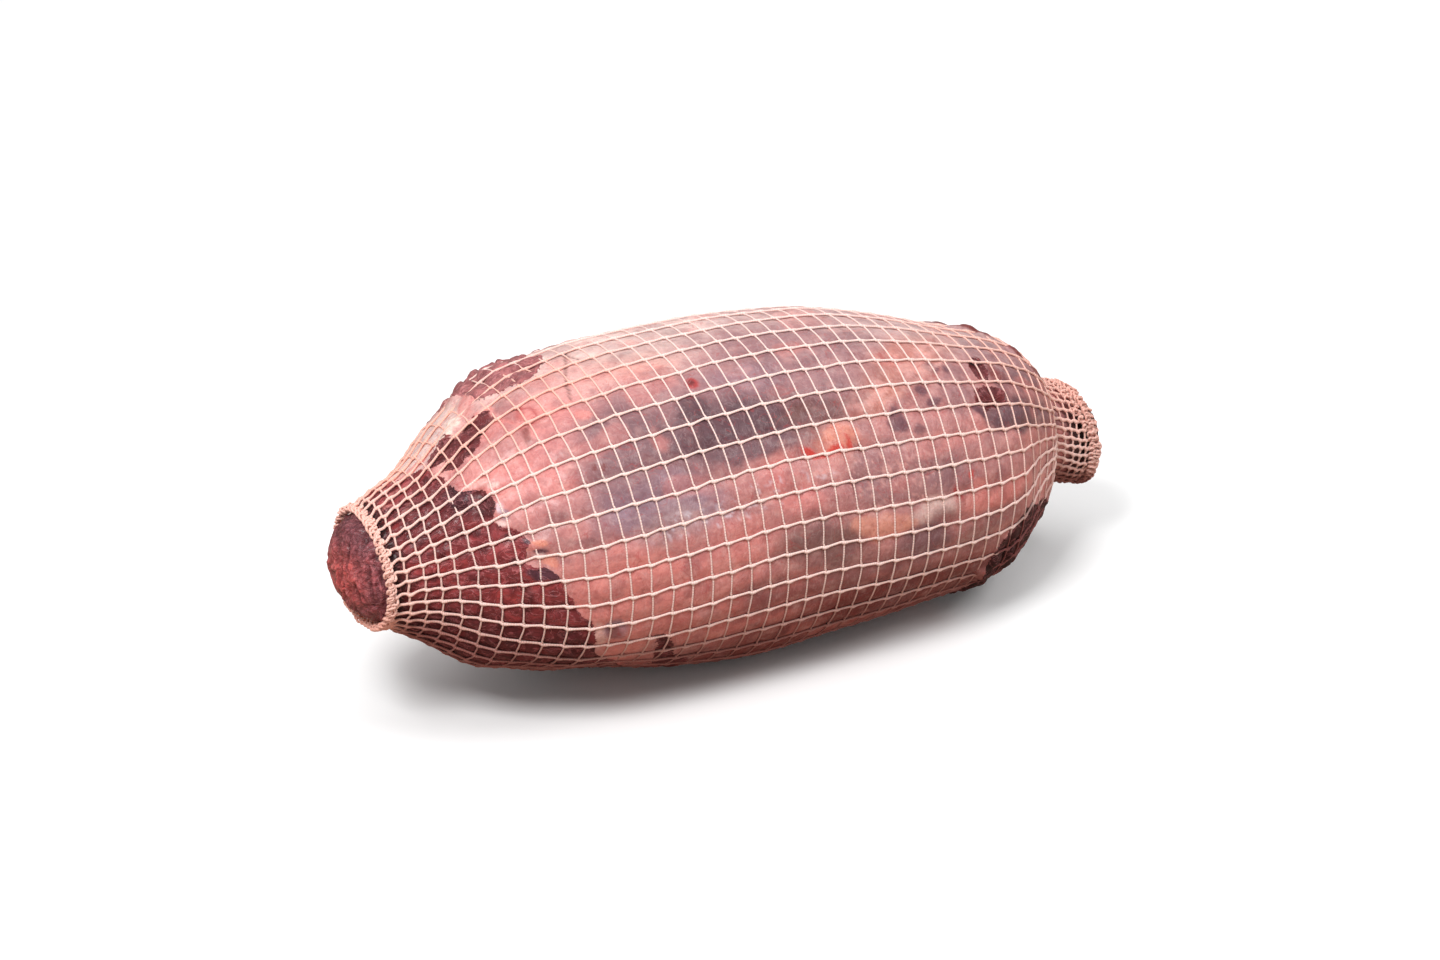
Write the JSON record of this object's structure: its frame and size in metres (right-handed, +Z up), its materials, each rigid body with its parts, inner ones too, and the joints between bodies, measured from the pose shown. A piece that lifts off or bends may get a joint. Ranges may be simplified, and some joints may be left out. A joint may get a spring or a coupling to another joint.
{
  "type": "netted boneless reindeer roast",
  "caption": "Raw boneless meat roast, rolled into a spindle with one blunt and one tapered end, held in a stretched elastic net whose open mouths show the ground ends of the meat.",
  "frame": {"origin": "on the surface that the roast rests on, under the middle of its bounding box", "axes": "+X along the roast from the tapered ground end to the collar end, +Z up"},
  "size_m": [0.3348, 0.1315, 0.1292],
  "materials": {
    "raw_meat": "moist raw meat under a thin pale membrane",
    "elastic_net": "damp pink elastic thread, matte"
  },
  "bodies": {
    "root": {"meat": "raw_meat", "net": "elastic_net"}
  },
  "joints": []
}
